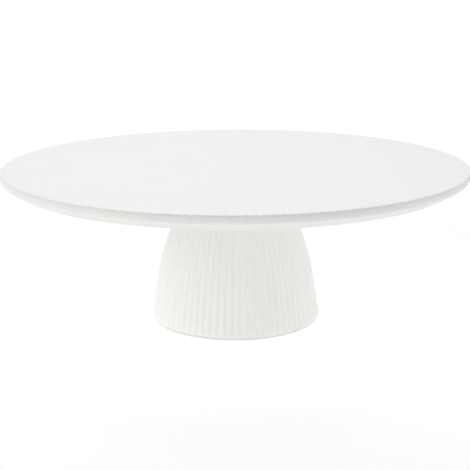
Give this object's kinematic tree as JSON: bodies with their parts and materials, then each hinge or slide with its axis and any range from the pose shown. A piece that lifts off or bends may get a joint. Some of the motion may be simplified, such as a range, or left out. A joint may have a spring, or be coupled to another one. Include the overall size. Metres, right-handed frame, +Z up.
{
  "type": "cake stand",
  "caption": "Footed cake stand: a flat round serving plate with fine radial ribs on a hollow bell-shaped ribbed pedestal, held together by a hand knob from inside.",
  "frame": {"origin": "centre of the stand on the surface that its foot pads rest on", "axes": "+Z up along the stand's axis, +X to the right and -Y to the front"},
  "size_m": [0.3, 0.3, 0.102],
  "materials": {
    "plate_glaze": "satin",
    "pedestal_glaze": "satin",
    "silicone": "matte",
    "pad_silicone": "matte",
    "steel": "satin",
    "brass": "satin",
    "knob_plastic": "matte"
  },
  "bodies": {
    "pedestal_body": {"pedestal": "pedestal_glaze", "joint_gasket": "silicone", "foot_pad_front_left": "pad_silicone", "foot_pad_front_right": "pad_silicone", "foot_pad_rear_left": "pad_silicone", "foot_pad_rear_right": "pad_silicone"},
    "plate_body": {"plate": "plate_glaze", "threaded_insert": "brass"},
    "washer_pair": {"cushion_washer": "silicone", "steel_washer": "steel"},
    "clamp_screw": {"clamp_stud": "steel", "clamp_knob": "knob_plastic"}
  },
  "joints": [
    {"name": "plate_lift", "type": "slide", "parent": "pedestal_body", "child": "plate_body", "axis": [0, 0, 1], "range_m": [0, 0.08]},
    {"name": "screw_travel", "type": "slide", "parent": "pedestal_body", "child": "washer_pair", "axis": [0, 0, -1], "range_m": [0, 0.0075]},
    {"name": "screw_turn", "type": "hinge", "parent": "washer_pair", "child": "clamp_screw", "pos_m": [0, 0, 0.065], "axis": [0, 0, -1], "range_deg": [0, 2160]}
  ],
  "couplings": [
    {"joint": "screw_travel", "follows": "screw_turn", "m_per_rad": 0.00019894}
  ]
}
